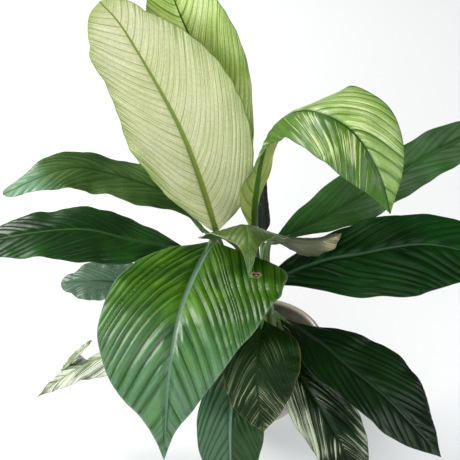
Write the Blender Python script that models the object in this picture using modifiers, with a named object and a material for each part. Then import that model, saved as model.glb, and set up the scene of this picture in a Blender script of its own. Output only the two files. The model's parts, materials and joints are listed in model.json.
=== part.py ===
"""Peace lily in a low glazed pot: the pot, its soil, the crown, and each leaf with its stalk.

Metres, +Z up. The origin is the middle of the pot's flat underside, which rests on z = 0.
The plant faces -Y: its largest leaf arches forward over the pot's rim.
"""
from math import cos, pi, radians, sin

import bmesh
import bpy
import numpy as np
from mathutils import Vector

# Driving dimensions
POT_HEIGHT = 0.100
RIM_RADIUS = 0.080
FOOT_RADIUS = 0.048
POT_WALL = 0.007
SOIL_TOP = 0.076
CROWN_RADIUS = 0.042
CROWN_HEIGHT = 0.014
GAP = 0.0003
BLADE_THICKNESS = 0.0014
BLADE_START = 0.0030
STALK_RADIUS = 0.0034
ROUND_STEPS = 40
RIB_STEPS = 12
HALF_STEPS = 2
STALK_STEPS = 7
STRAIGHT_END = 0.005

# finish: (base colour, roughness)
FINISHES = {
    "glaze": ((0.21, 0.20, 0.155), 0.25),
    "soil": ((0.045, 0.030, 0.020), 0.95),
    "crown": ((0.20, 0.24, 0.09), 0.70),
    "pale": ((0.56, 0.60, 0.24), 0.45),
    "lime": ((0.30, 0.43, 0.08), 0.40),
    "green": ((0.07, 0.18, 0.03), 0.35),
    "dark": ((0.010, 0.045, 0.006), 0.30),
    "marbled": ((0.08, 0.12, 0.04), 0.35),
    "cream": ((0.74, 0.78, 0.62), 0.45),
    "stalk": ((0.12, 0.22, 0.05), 0.45),
}

# One entry a leaf.
#   foot: where its stalk leaves the crown (x, y)
#   rib: points along the middle rib, from the blade's base to its tip
#   across: direction of the blade's right half, spread evenly from base to tip
#   left, right: half widths, evenly spaced between base and tip
#   fold: degrees that each half is raised (or drooped, if negative) from base to tip
#   curl: degrees that each half goes on bending on its way out to its edge, if it does
#   turn: the share of the stalk's length that leads into the rib's line, if not 0.30
LEAVES = {
    "tall_pale": dict(
        foot=(-0.012, 0.010), finish="pale", fold=(22, 8), across=[(1, 0.1, 0)],
        rib=[(-0.056, 0.003, 0.290), (-0.076, 0.008, 0.375), (-0.101, 0.033, 0.435),
             (-0.151, 0.068, 0.520), (-0.176, 0.073, 0.555)],
        left=(0.022, 0.040, 0.053, 0.060, 0.053, 0.047, 0.043),
        right=(0.034, 0.060, 0.072, 0.076, 0.072, 0.058, 0.034)),
    "tall_back": dict(
        foot=(-0.004, 0.018), finish="lime", fold=(20, 5), across=[(1, 0.3, 0.2), (1, 0.2, 0.2)],
        rib=[(-0.018, 0.033, 0.300), (-0.036, 0.063, 0.380), (-0.066, 0.088, 0.455),
             (-0.091, 0.108, 0.505), (-0.116, 0.108, 0.585)],
        left=(0.020, 0.035, 0.045, 0.046, 0.034), right=(0.012, 0.028, 0.044, 0.048, 0.038)),
    "arching": dict(
        foot=(0.003, 0.008), finish="lime", fold=(25, 0, -30, -5, 5),
        across=[(-0.6, -0.7, 0), (-0.5, -0.85, 0.1), (-0.5, -0.7, -0.3), (-0.8, -0.4, -0.4)],
        rib=[(-0.014, 0.002, 0.290), (-0.013, 0.001, 0.350), (-0.006, -0.004, 0.420),
             (0.008, -0.020, 0.473), (0.039, -0.054, 0.511), (0.077, -0.090, 0.512),
             (0.102, -0.120, 0.483), (0.114, -0.137, 0.449)],
        left=(0.026, 0.034, 0.044, 0.047, 0.039), right=(0.024, 0.028, 0.026, 0.039, 0.037)),
    "left_upper": dict(
        foot=(-0.024, 0.014), finish="green", fold=(-8,), across=[(0, 1, 0)],
        rib=[(-0.070, 0.028, 0.270), (-0.111, 0.048, 0.310), (-0.181, 0.058, 0.335),
             (-0.231, 0.048, 0.350), (-0.296, 0.008, 0.346)],
        left=(0.016, 0.036, 0.034, 0.034, 0.024), right=(0.016, 0.034, 0.034, 0.032, 0.024)),
    "left_lower": dict(
        foot=(-0.026, -0.002), finish="dark", fold=(-8,), across=[(0, 1, 0)],
        rib=[(-0.091, -0.022, 0.290), (-0.151, -0.042, 0.325), (-0.201, -0.052, 0.350),
             (-0.261, -0.062, 0.352), (-0.331, -0.072, 0.340)],
        left=(0.020, 0.038, 0.044, 0.038, 0.026), right=(0.030, 0.038, 0.040, 0.034, 0.024)),
    "left_small": dict(
        foot=(-0.036, 0.006), finish="green", fold=(0,), across=[(0, 1, 0.1)],
        rib=[(-0.116, -0.012, 0.210), (-0.171, -0.012, 0.225), (-0.206, -0.012, 0.228),
             (-0.241, -0.012, 0.223)],
        left=(0.020, 0.026, 0.030, 0.030, 0.024), right=(0.020, 0.028, 0.030, 0.028, 0.020)),
    "front_large": dict(
        foot=(-0.017, -0.018), turn=0.02, finish="green", fold=(10, 0),
        across=[(-1, 0.2, 0), (-1, 0.1, 0)],
        rib=[(-0.062, -0.029, 0.309), (-0.084, -0.102, 0.314), (-0.096, -0.162, 0.315),
             (-0.104, -0.217, 0.285), (-0.110, -0.247, 0.200)],
        left=(0.093, 0.101, 0.094, 0.075, 0.053, 0.030, 0.010),
        right=(0.042, 0.067, 0.078, 0.080, 0.070, 0.046, 0.016)),
    "curled": dict(
        foot=(-0.003, -0.003), finish="green", fold=(-5, -20, -15), across=[(-1, 0, 0.05)],
        rib=[(-0.024, -0.012, 0.258), (-0.024, -0.024, 0.316), (-0.024, -0.055, 0.360),
             (-0.022, -0.086, 0.377), (-0.021, -0.110, 0.371), (-0.021, -0.128, 0.348)],
        left=(0.014, 0.036, 0.052, 0.034, 0.010), right=(0.014, 0.036, 0.054, 0.034, 0.010)),
    "furled": dict(
        foot=(0.010, -0.006), turn=0.06, finish="marbled", fold=(20,), curl=(130, 60),
        across=[(0, 1, 0.3)],
        rib=[(0.010, -0.026, 0.306), (0.027, -0.034, 0.315), (0.054, -0.039, 0.318),
             (0.082, -0.039, 0.330)],
        left=(0.018, 0.023, 0.023, 0.020, 0.014), right=(0.018, 0.023, 0.023, 0.020, 0.014)),
    "right_upper": dict(
        foot=(0.014, 0.014), turn=0.12, finish="dark", fold=(5,), across=[(0.4, -1, 0)],
        rib=[(0.009, 0.018, 0.262), (0.079, 0.058, 0.268), (0.134, 0.083, 0.288),
             (0.204, 0.103, 0.330), (0.284, 0.108, 0.375)],
        left=(0.028, 0.042, 0.038, 0.032, 0.024), right=(0.020, 0.036, 0.040, 0.038, 0.030)),
    "right_lower": dict(
        foot=(0.014, -0.018), turn=0.15, finish="dark", fold=(-8,), across=[(0, -1, -0.4)],
        rib=[(-0.006, -0.034, 0.243), (0.059, -0.044, 0.291), (0.099, -0.054, 0.313),
             (0.174, -0.064, 0.338), (0.264, -0.084, 0.328)],
        left=(0.024, 0.034, 0.042, 0.038, 0.032), right=(0.020, 0.042, 0.054, 0.056, 0.036)),
    "front_right": dict(
        foot=(0.028, -0.012), turn=0.04, finish="dark", fold=(0, -5),
        across=[(-0.6, -0.7, -0.1)],
        rib=[(0.014, -0.078, 0.238), (0.059, -0.122, 0.243), (0.084, -0.152, 0.243),
             (0.129, -0.192, 0.230), (0.184, -0.232, 0.185)],
        left=(0.013, 0.036, 0.050, 0.046, 0.030), right=(0.025, 0.034, 0.034, 0.032, 0.024)),
    "front_centre": dict(
        foot=(-0.008, -0.032), turn=0.10, finish="marbled", fold=(5, 0), across=[(-1, 0, 0)],
        rib=[(-0.006, -0.112, 0.270), (-0.011, -0.157, 0.266), (-0.012, -0.182, 0.239),
             (-0.005, -0.192, 0.174)],
        left=(0.037, 0.046, 0.042, 0.034, 0.020), right=(0.025, 0.036, 0.035, 0.030, 0.018)),
    "front_marbled": dict(
        foot=(0.024, -0.031), turn=0.12, finish="marbled", fold=(5, 0),
        across=[(-0.9, -0.4, 0)],
        rib=[(0.014, -0.102, 0.215), (0.046, -0.152, 0.200), (0.074, -0.182, 0.165),
             (0.098, -0.202, 0.120), (0.117, -0.212, 0.080)],
        left=(0.020, 0.030, 0.034, 0.030, 0.018), right=(0.020, 0.035, 0.034, 0.030, 0.018)),
    "front_low": dict(
        foot=(-0.014, -0.028), finish="green", fold=(5, 0), across=[(-1, 0, 0)],
        rib=[(-0.036, -0.094, 0.203), (-0.039, -0.154, 0.189), (-0.041, -0.184, 0.157),
             (-0.039, -0.194, 0.058)],
        left=(0.024, 0.036, 0.038, 0.033, 0.020), right=(0.017, 0.034, 0.037, 0.033, 0.021)),
    "cream": dict(
        foot=(-0.034, -0.014), finish="cream", fold=(5, 0), across=[(0, 1, 0.2)],
        rib=[(-0.136, -0.042, 0.146), (-0.191, -0.052, 0.138), (-0.236, -0.062, 0.118),
             (-0.278, -0.072, 0.085)],
        left=(0.020, 0.028, 0.024, 0.018, 0.010), right=(0.012, 0.018, 0.022, 0.012, 0.006)),
    "behind": dict(
        foot=(0.008, 0.028), finish="dark", fold=(10, 5), across=[(1, 0, 0)],
        rib=[(-0.002, 0.038, 0.255), (-0.001, 0.048, 0.285), (-0.001, 0.068, 0.334)],
        left=(0.008, 0.008, 0.007, 0.006, 0.004), right=(0.008, 0.007, 0.005, 0.004, 0.003)),
}


def clear_scene():
    for obj in list(bpy.data.objects):
        bpy.data.objects.remove(obj)


def make_material(name, colour, roughness):
    material = bpy.data.materials.new(name)
    material.use_nodes = True
    shader = material.node_tree.nodes["Principled BSDF"]
    shader.inputs["Base Color"].default_value = (*colour, 1.0)
    shader.inputs["Roughness"].default_value = roughness
    return material


def add_object(name, data, collection, finish):
    obj = bpy.data.objects.new(name, data)
    collection.objects.link(obj)
    data.materials.append(make_material(name + "_finish", *FINISHES[finish]))
    return obj


def add_turned(name, profile, collection, finish):
    """A body turned round Z from (radius, height) points that run down its outer side."""
    mesh = bpy.data.meshes.new(name)
    points = [(radius, 0.0, height) for radius, height in profile]
    mesh.from_pydata(points, [(i, i + 1) for i in range(len(points) - 1)], [])
    obj = add_object(name, mesh, collection, finish)
    screw = obj.modifiers.new("Turn", "SCREW")
    screw.steps = ROUND_STEPS
    screw.render_steps = ROUND_STEPS
    screw.use_merge_vertices = True
    screw.merge_threshold = 0.00005
    return obj


def smooth_path(points, count):
    """Evenly spaced points along the smooth curve that passes through the given ones."""
    knots = np.array(points, float)
    knots = np.vstack([2 * knots[0] - knots[1], knots, 2 * knots[-1] - knots[-2]])
    fine = []
    for a, b, c, d in zip(knots, knots[1:], knots[2:], knots[3:]):
        for t in np.linspace(0, 1, 40, endpoint=False):
            fine.append(0.5 * (2 * b + (c - a) * t + (2 * a - 5 * b + 4 * c - d) * t ** 2
                               + (3 * b - a - 3 * c + d) * t ** 3))
    fine.append(knots[-2])
    fine = np.array(fine)
    steps = np.linalg.norm(np.diff(fine, axis=0), axis=1)
    length = np.concatenate([[0.0], np.cumsum(steps)])
    marks = np.linspace(0, length[-1], count)
    return np.stack([np.interp(marks, length, fine[:, k]) for k in range(3)], axis=1)


def unit(vectors):
    return vectors / np.linalg.norm(vectors, axis=-1, keepdims=True)


def spread(values, count):
    """Values given evenly from base to tip, read at count places."""
    values = np.array(values, float)
    if len(values) == 1:
        return np.repeat(values, count, axis=0)
    return np.interp(np.linspace(0, 1, count), np.linspace(0, 1, len(values)), values)


def half_widths(stations, count):
    """Half width from base to tip, smooth through the stations and closing at both ends."""
    outline = [0.0, *stations, 0.0]
    knots = [(i / (len(outline) - 1), width, 0) for i, width in enumerate(outline)]
    curve = smooth_path(knots, 20 * len(knots))
    widths = np.interp(np.linspace(0, 1, count), curve[:, 0], curve[:, 1])
    return np.maximum(widths, BLADE_START)


def blade_frame(leaf, count):
    """Rib points, the direction of the right half and the upper side's normal."""
    rib = smooth_path(leaf["rib"], count)
    along = unit(np.gradient(rib, axis=0))
    sides = np.array(leaf["across"], float)
    side = np.stack([spread(sides[:, k], count) for k in range(3)], axis=1)
    side = unit(side - np.sum(side * along, axis=1, keepdims=True) * along)
    return rib, side, np.cross(side, along)


def blade_grid(leaf):
    """Rows of points across the blade, from its base to the row before its tip."""
    count = RIB_STEPS + 1
    rib, side, normal = blade_frame(leaf, count)
    fold = np.radians(spread(leaf["fold"], count))
    curl = np.radians(spread(leaf.get("curl", (0,)), count))
    widths = {-1: half_widths(leaf["left"], count), 1: half_widths(leaf["right"], count)}
    columns = []
    for step in range(-HALF_STEPS, HALF_STEPS + 1):
        hand = -1 if step < 0 else 1
        reach = np.zeros(count)
        lift = np.zeros(count)
        for part in range(abs(step)):
            angle = fold + curl * (part + 0.5) / HALF_STEPS
            reach += widths[hand] / HALF_STEPS * np.cos(angle)
            lift += widths[hand] / HALF_STEPS * np.sin(angle)
        columns.append(rib + side * (hand * reach)[:, None] + normal * lift[:, None])
    return np.stack(columns, axis=1), rib[-1]


def add_blade(name, leaf, collection):
    """The blade is a loft through its rows, given its thickness by Solidify."""
    rows, tip = blade_grid(leaf)
    bm = bmesh.new()
    grid = [[bm.verts.new(point) for point in row] for row in rows[:-1]]
    for row, following in zip(grid, grid[1:]):
        for k in range(len(row) - 1):
            bm.faces.new((row[k], row[k + 1], following[k + 1], following[k]))
    end = bm.verts.new(tip)
    for k in range(len(grid[-1]) - 1):
        bm.faces.new((grid[-1][k], grid[-1][k + 1], end))
    mesh = bpy.data.meshes.new(name)
    bm.to_mesh(mesh)
    bm.free()
    mesh.shade_smooth()
    obj = add_object(name, mesh, collection, leaf["finish"])
    solid = obj.modifiers.new("Thickness", "SOLIDIFY")
    solid.thickness = BLADE_THICKNESS
    solid.offset = 0.0
    return obj


def stalk_route(leaf, foot_height):
    """From the crown straight up, then over into the line of the leaf's rib."""
    rib = smooth_path(leaf["rib"], RIB_STEPS + 1)
    along = Vector(rib[1] - rib[0]).normalized()
    up = Vector((0.0, 0.0, 1.0))
    ends = (Vector((*leaf["foot"], foot_height)), Vector(rib[0]) - along * GAP * 2)
    foot = ends[0] + up * STRAIGHT_END
    top = ends[1] - along * STRAIGHT_END
    reach = (top - foot).length
    rise = foot + up * reach * 0.45
    lead = top - along * reach * leaf.get("turn", 0.30)
    route = [ends[0]]
    for i in range(STALK_STEPS + 1):
        t = i / STALK_STEPS
        route.append(foot * (1 - t) ** 3 + rise * 3 * t * (1 - t) ** 2
                     + lead * 3 * t ** 2 * (1 - t) + top * t ** 3)
    return [*route, ends[1]]


def add_stalk(name, leaf, foot_height, collection):
    curve = bpy.data.curves.new(name, "CURVE")
    curve.dimensions = "3D"
    curve.bevel_depth = STALK_RADIUS
    curve.bevel_resolution = 1
    curve.use_fill_caps = True
    route = stalk_route(leaf, foot_height)
    spline = curve.splines.new("POLY")
    spline.points.add(len(route) - 1)
    for point, place in zip(spline.points, route):
        point.co = (*place, 1.0)
    return add_object(name, curve, collection, "stalk")


def pot_radius(height):
    """Outer radius of the low pot at a height: it opens from the foot and is upright at the rim."""
    return FOOT_RADIUS + (RIM_RADIUS - FOOT_RADIUS) * sin(pi / 2 * height / POT_HEIGHT)


def wall_profile(bottom, top, inset, steps):
    """Points up the wall at an inset from the outer surface, bottom to top."""
    heights = [bottom + (top - bottom) * i / steps for i in range(steps + 1)]
    return [(pot_radius(height) - inset, height) for height in heights]


def add_pot(collection):
    inner = wall_profile(POT_WALL, POT_HEIGHT - POT_WALL / 2, POT_WALL, 8)
    outer = wall_profile(0.0, POT_HEIGHT - POT_WALL / 2, 0.0, 10)[::-1]
    lip = [(RIM_RADIUS - POT_WALL / 2 - POT_WALL / 2 * cos(radians(a)),
            POT_HEIGHT - POT_WALL / 2 + POT_WALL / 2 * sin(radians(a))) for a in (45, 90, 135)]
    profile = [(0.0, POT_WALL), *inner, *lip, *outer, (0.0, 0.0)]
    return add_turned("pot", profile, collection, "glaze")


def add_soil(collection):
    wall = wall_profile(POT_WALL + GAP, SOIL_TOP, POT_WALL + GAP * 3, 8)[::-1]
    profile = [(0.0, SOIL_TOP), *wall, (0.0, POT_WALL + GAP)]
    return add_turned("soil", profile, collection, "soil")


def add_crown(collection):
    bottom = SOIL_TOP + GAP
    top = bottom + CROWN_HEIGHT
    profile = [(0.0, top), (CROWN_RADIUS * 0.96, top), (CROWN_RADIUS, top - 0.003),
               (CROWN_RADIUS * 0.9, bottom), (0.0, bottom)]
    add_turned("crown", profile, collection, "crown")
    return top


def main():
    clear_scene()
    collection = bpy.data.collections.new("potted_peace_lily")
    bpy.context.scene.collection.children.link(collection)
    add_pot(collection)
    add_soil(collection)
    crown_top = add_crown(collection)
    for name, leaf in LEAVES.items():
        add_blade("leaf_" + name, leaf, collection)
        add_stalk("stalk_" + name, leaf, crown_top + GAP, collection)


main()
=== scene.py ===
"""Peace lily in a low glazed pot: finished leaves, stalks, crown, soil, pot and stage."""
import json
from math import cos, pi, radians, sin

import bmesh
import bpy
import numpy as np
from mathutils import Euler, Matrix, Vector, noise


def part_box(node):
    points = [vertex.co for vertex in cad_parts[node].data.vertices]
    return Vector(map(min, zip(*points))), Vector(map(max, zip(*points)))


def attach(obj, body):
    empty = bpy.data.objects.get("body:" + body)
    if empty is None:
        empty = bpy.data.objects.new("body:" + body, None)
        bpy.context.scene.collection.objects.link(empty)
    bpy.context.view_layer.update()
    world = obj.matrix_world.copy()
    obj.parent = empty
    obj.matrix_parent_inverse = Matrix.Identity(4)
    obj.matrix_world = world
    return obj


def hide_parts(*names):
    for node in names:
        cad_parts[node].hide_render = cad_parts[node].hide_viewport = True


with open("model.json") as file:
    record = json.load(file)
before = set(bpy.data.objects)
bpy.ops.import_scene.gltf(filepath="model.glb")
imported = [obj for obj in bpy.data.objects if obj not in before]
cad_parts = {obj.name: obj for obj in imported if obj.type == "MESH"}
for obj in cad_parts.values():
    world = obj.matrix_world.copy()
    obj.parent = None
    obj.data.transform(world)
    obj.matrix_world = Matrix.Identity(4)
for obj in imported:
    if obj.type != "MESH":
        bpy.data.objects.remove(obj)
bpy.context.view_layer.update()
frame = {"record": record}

bl_info = {
    "name": "Potted Peace Lily",
    "version": (1, 0, 0),
    "blender": (4, 5, 0),
    "location": "3D View > Sidebar > Plant",
    "description": "Builds a peace lily in a glazed pot around its fixed frame",
    "category": "Object",
}

BODY = "root"

# Places taken from the frame
POT_LOW, POT_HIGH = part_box("pot")
SOIL_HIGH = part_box("soil")[1]
CROWN_LOW, CROWN_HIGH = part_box("crown")
RIM_RADIUS = (POT_HIGH[0] - POT_LOW[0]) / 2
POT_HEIGHT = POT_HIGH[2] - POT_LOW[2]
SOIL_TOP = SOIL_HIGH[2]
CROWN_RADIUS = (CROWN_HIGH[0] - CROWN_LOW[0]) / 2
CROWN_TOP = CROWN_HIGH[2]

# The pot's own dimensions, as the frame's pot has them
FOOT_RADIUS = 0.048
POT_WALL = 0.007

# Fineness of the meshes
RIB_ROWS = 150
COLUMN_STEP = 0.0019
MOST_COLUMNS = 52
STALK_RINGS = 48
BLADE_START = 0.0030
UNDER_RINGS = 8

# Where a rounded tip starts along a blade, and how far a vein strays, as a share of a panel
BLUNT_FROM = 0.875
VEIN_UNEVENNESS = 0.16

# Relief of the leaves' skin, in metres or as shares
BLADE_RIPPLE = 0.0022
SKIN_GRAIN = 0.0001
PANEL_RELIEF = 0.28
STALK_GROOVE = 0.45
HALVES_APART = 7.0
EULER = 2.718

# The crown's dry scales
OLD_SCALES = 26
SCALE_SEED = 11


# One entry a leaf.
#   foot: where its stalk leaves the crown (x, y)
#   rib: points along the middle rib, from the blade's base to its tip
#   across: direction of the blade's right half, spread evenly from base to tip
#   left, right: half widths, evenly spaced between base and tip
#   fold: degrees that each half is raised (or drooped, if negative) from base to tip
#   curl: degrees that each half goes on bending on its way out to its edge, if it does
#   turn: the share of the stalk's length that leads into the rib's line, if not 0.30
LEAVES = {
    "tall_pale": dict(
        foot=(-0.012, 0.010), fold=(22, 8), across=[(1, 0.1, 0)],
        rib=[(-0.056, 0.003, 0.290), (-0.076, 0.008, 0.375), (-0.101, 0.033, 0.435),
             (-0.151, 0.068, 0.520), (-0.176, 0.073, 0.555)],
        left=(0.022, 0.040, 0.053, 0.060, 0.053, 0.047, 0.043),
        right=(0.034, 0.060, 0.072, 0.076, 0.072, 0.058, 0.034)),
    "tall_back": dict(
        foot=(-0.004, 0.018), fold=(20, 5), across=[(1, 0.3, 0.2), (1, 0.2, 0.2)],
        rib=[(-0.018, 0.033, 0.300), (-0.036, 0.063, 0.380), (-0.066, 0.088, 0.455),
             (-0.091, 0.108, 0.505), (-0.116, 0.108, 0.585)],
        left=(0.020, 0.035, 0.045, 0.046, 0.034), right=(0.012, 0.028, 0.044, 0.048, 0.038)),
    "arching": dict(
        foot=(0.003, 0.008), fold=(25, 0, -30, -5, 5),
        across=[(-0.6, -0.7, 0), (-0.5, -0.85, 0.1), (-0.5, -0.7, -0.3), (-0.8, -0.4, -0.4)],
        rib=[(-0.014, 0.002, 0.290), (-0.013, 0.001, 0.350), (-0.006, -0.004, 0.420),
             (0.008, -0.020, 0.473), (0.039, -0.054, 0.511), (0.077, -0.090, 0.512),
             (0.102, -0.120, 0.483), (0.114, -0.137, 0.449)],
        left=(0.026, 0.034, 0.044, 0.047, 0.039), right=(0.024, 0.028, 0.026, 0.039, 0.037)),
    "left_upper": dict(
        foot=(-0.024, 0.014), fold=(-8,), across=[(0, 1, 0)],
        rib=[(-0.070, 0.028, 0.270), (-0.111, 0.048, 0.310), (-0.181, 0.058, 0.335),
             (-0.231, 0.048, 0.350), (-0.296, 0.008, 0.346)],
        left=(0.016, 0.036, 0.034, 0.034, 0.024), right=(0.016, 0.034, 0.034, 0.032, 0.024)),
    "left_lower": dict(
        foot=(-0.026, -0.002), fold=(-8,), across=[(0, 1, 0)],
        rib=[(-0.091, -0.022, 0.290), (-0.151, -0.042, 0.325), (-0.201, -0.052, 0.350),
             (-0.261, -0.062, 0.352), (-0.331, -0.072, 0.340)],
        left=(0.020, 0.038, 0.044, 0.038, 0.026), right=(0.030, 0.038, 0.040, 0.034, 0.024)),
    "left_small": dict(
        foot=(-0.036, 0.006), fold=(0,), across=[(0, 1, 0.1)],
        rib=[(-0.116, -0.012, 0.210), (-0.171, -0.012, 0.225), (-0.206, -0.012, 0.228),
             (-0.241, -0.012, 0.223)],
        left=(0.020, 0.026, 0.030, 0.030, 0.024), right=(0.020, 0.028, 0.030, 0.028, 0.020)),
    "front_large": dict(
        foot=(-0.017, -0.018), turn=0.02, fold=(10, 0),
        across=[(-1, 0.2, 0), (-1, 0.1, 0)],
        rib=[(-0.062, -0.029, 0.309), (-0.084, -0.102, 0.314), (-0.096, -0.162, 0.315),
             (-0.104, -0.217, 0.285), (-0.110, -0.247, 0.200)],
        left=(0.093, 0.101, 0.094, 0.075, 0.053, 0.030, 0.010),
        right=(0.042, 0.067, 0.078, 0.080, 0.070, 0.046, 0.016)),
    "curled": dict(
        foot=(-0.003, -0.003), fold=(-5, -20, -15), across=[(-1, 0, 0.05)],
        rib=[(-0.024, -0.012, 0.258), (-0.024, -0.024, 0.316), (-0.024, -0.055, 0.360),
             (-0.022, -0.086, 0.377), (-0.021, -0.110, 0.371), (-0.021, -0.128, 0.348)],
        left=(0.014, 0.036, 0.052, 0.034, 0.010), right=(0.014, 0.036, 0.054, 0.034, 0.010)),
    "furled": dict(
        foot=(0.010, -0.006), turn=0.06, fold=(20,), curl=(130, 60),
        across=[(0, 1, 0.3)],
        rib=[(0.010, -0.026, 0.306), (0.027, -0.034, 0.315), (0.054, -0.039, 0.318),
             (0.082, -0.039, 0.330)],
        left=(0.018, 0.023, 0.023, 0.020, 0.014), right=(0.018, 0.023, 0.023, 0.020, 0.014)),
    "right_upper": dict(
        foot=(0.014, 0.014), turn=0.12, fold=(5,), across=[(0.4, -1, 0)],
        rib=[(0.009, 0.018, 0.262), (0.079, 0.058, 0.268), (0.134, 0.083, 0.288),
             (0.204, 0.103, 0.330), (0.284, 0.108, 0.375)],
        left=(0.028, 0.042, 0.038, 0.032, 0.024), right=(0.020, 0.036, 0.040, 0.038, 0.030)),
    "right_lower": dict(
        foot=(0.014, -0.018), turn=0.15, fold=(-8,), across=[(0, -1, -0.4)],
        rib=[(-0.006, -0.034, 0.243), (0.059, -0.044, 0.291), (0.099, -0.054, 0.313),
             (0.174, -0.064, 0.338), (0.264, -0.084, 0.328)],
        left=(0.024, 0.034, 0.042, 0.038, 0.032), right=(0.020, 0.042, 0.054, 0.056, 0.036)),
    "front_right": dict(
        foot=(0.028, -0.012), turn=0.04, fold=(0, -5),
        across=[(-0.6, -0.7, -0.1)],
        rib=[(0.014, -0.078, 0.238), (0.059, -0.122, 0.243), (0.084, -0.152, 0.243),
             (0.129, -0.192, 0.230), (0.184, -0.232, 0.185)],
        left=(0.013, 0.036, 0.050, 0.046, 0.030), right=(0.025, 0.034, 0.034, 0.032, 0.024)),
    "front_centre": dict(
        foot=(-0.008, -0.032), turn=0.10, fold=(5, 0), across=[(-1, 0, 0)],
        rib=[(-0.006, -0.112, 0.270), (-0.011, -0.157, 0.266), (-0.012, -0.182, 0.239),
             (-0.005, -0.192, 0.174)],
        left=(0.037, 0.046, 0.042, 0.034, 0.020), right=(0.025, 0.036, 0.035, 0.030, 0.018)),
    "front_marbled": dict(
        foot=(0.024, -0.031), turn=0.12, fold=(5, 0),
        across=[(-0.9, -0.4, 0)],
        rib=[(0.014, -0.102, 0.215), (0.046, -0.152, 0.200), (0.074, -0.182, 0.165),
             (0.098, -0.202, 0.120), (0.117, -0.212, 0.080)],
        left=(0.020, 0.030, 0.034, 0.030, 0.018), right=(0.020, 0.035, 0.034, 0.030, 0.018)),
    "front_low": dict(
        foot=(-0.014, -0.028), fold=(5, 0), across=[(-1, 0, 0)],
        rib=[(-0.036, -0.094, 0.203), (-0.039, -0.154, 0.189), (-0.041, -0.184, 0.157),
             (-0.039, -0.194, 0.058)],
        left=(0.024, 0.036, 0.038, 0.033, 0.020), right=(0.017, 0.034, 0.037, 0.033, 0.021)),
    "cream": dict(
        foot=(-0.034, -0.014), fold=(5, 0), across=[(0, 1, 0.2)],
        rib=[(-0.136, -0.042, 0.146), (-0.191, -0.052, 0.138), (-0.236, -0.062, 0.118),
             (-0.278, -0.072, 0.085)],
        left=(0.020, 0.028, 0.024, 0.018, 0.010), right=(0.012, 0.018, 0.022, 0.012, 0.006)),
    "behind": dict(
        foot=(0.008, 0.028), fold=(10, 5), across=[(1, 0, 0)],
        rib=[(-0.002, 0.038, 0.255), (-0.001, 0.048, 0.285), (-0.001, 0.068, 0.334)],
        left=(0.008, 0.008, 0.007, 0.006, 0.004), right=(0.008, 0.007, 0.005, 0.004, 0.003)),
}

# The strip torn along the cream leaf's back margin, joined to it near the tip
TORN_STRIP = dict(
    fold=(5,), across=[(0, -1, -0.2)],
    rib=[(-0.248, -0.056, 0.115), (-0.236, -0.050, 0.126), (-0.223, -0.043, 0.137),
         (-0.209, -0.035, 0.147)],
    left=(0.0040, 0.0048, 0.0048, 0.0040), right=(0.0040, 0.0048, 0.0048, 0.0040))

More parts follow.
